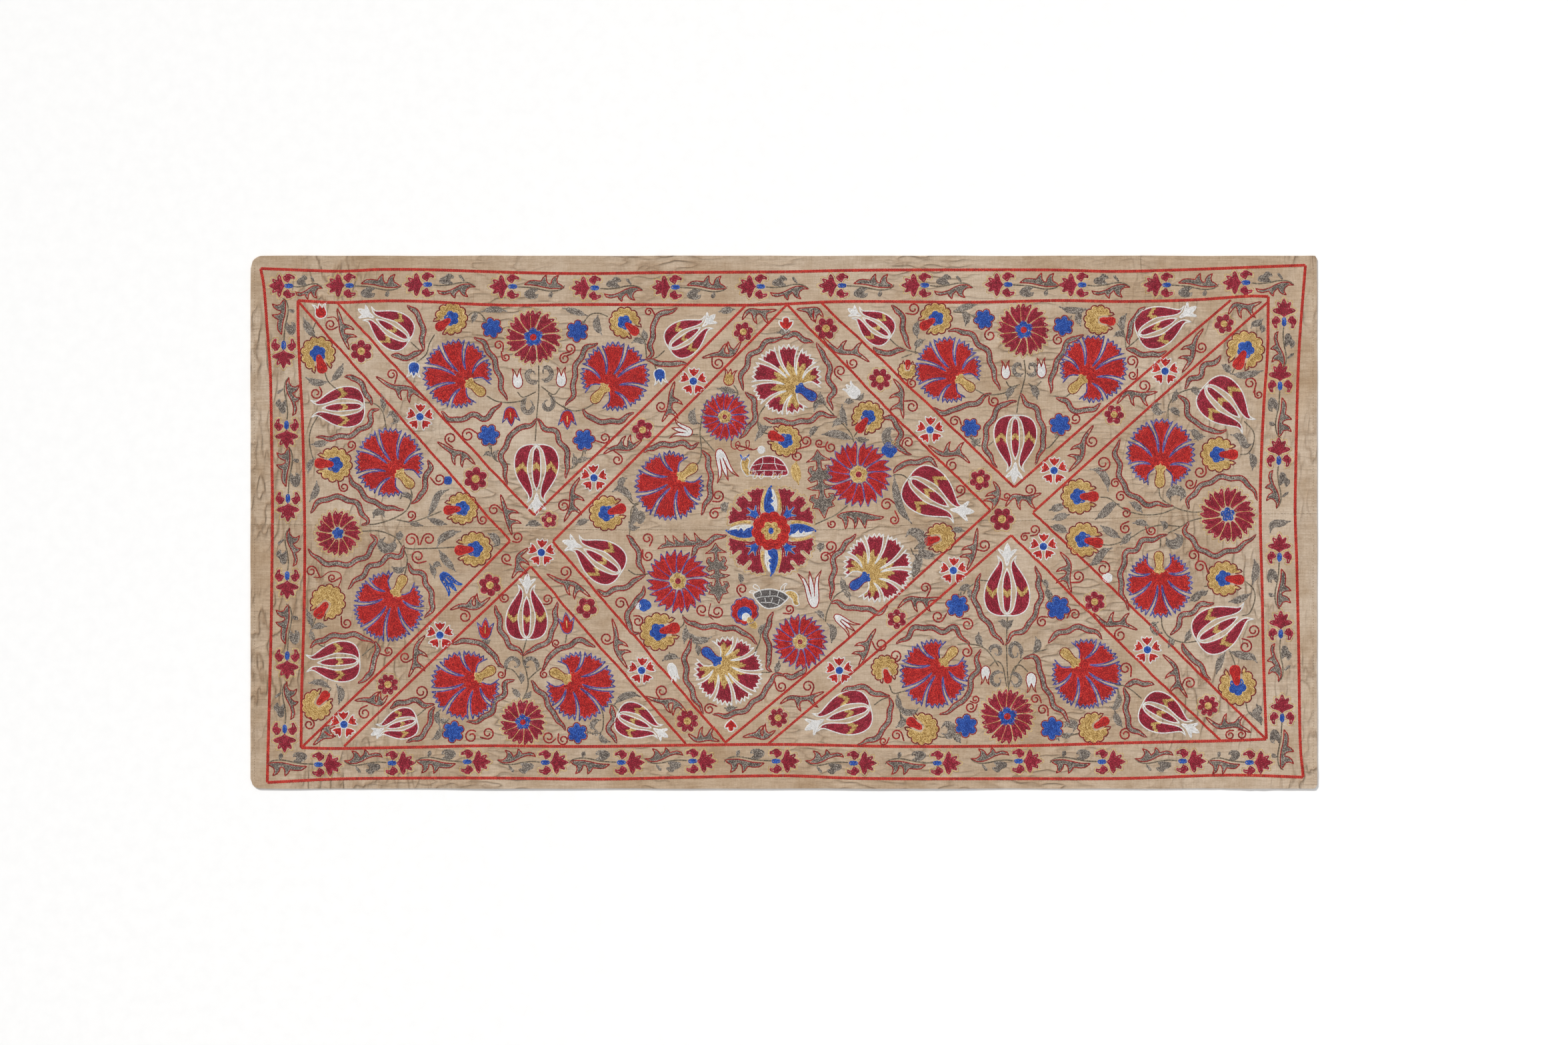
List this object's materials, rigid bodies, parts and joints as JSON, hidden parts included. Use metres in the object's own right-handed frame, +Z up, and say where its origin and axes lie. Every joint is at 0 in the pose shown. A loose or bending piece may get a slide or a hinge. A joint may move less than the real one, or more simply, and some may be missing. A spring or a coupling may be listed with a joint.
{
  "type": "suzani embroidered textile",
  "caption": "Flat embroidered cloth of two loom widths sewn edge to edge, with hemmed edges, for a wall, bed or table.",
  "frame": {"origin": "middle of the flat underside, on the surface that the cloth lies on", "axes": "+X along the length towards the right end, +Y towards the top edge, +Z up out of the embroidered face"},
  "size_m": [1.4, 0.7, 0.0035],
  "materials": {
    "upper_cloth": "undyed plain weave, slubby, matt",
    "lower_cloth": "undyed plain weave, slubby, matt"
  },
  "bodies": {
    "root": {"upper_panel": "upper_cloth", "lower_panel": "lower_cloth"}
  },
  "joints": []
}
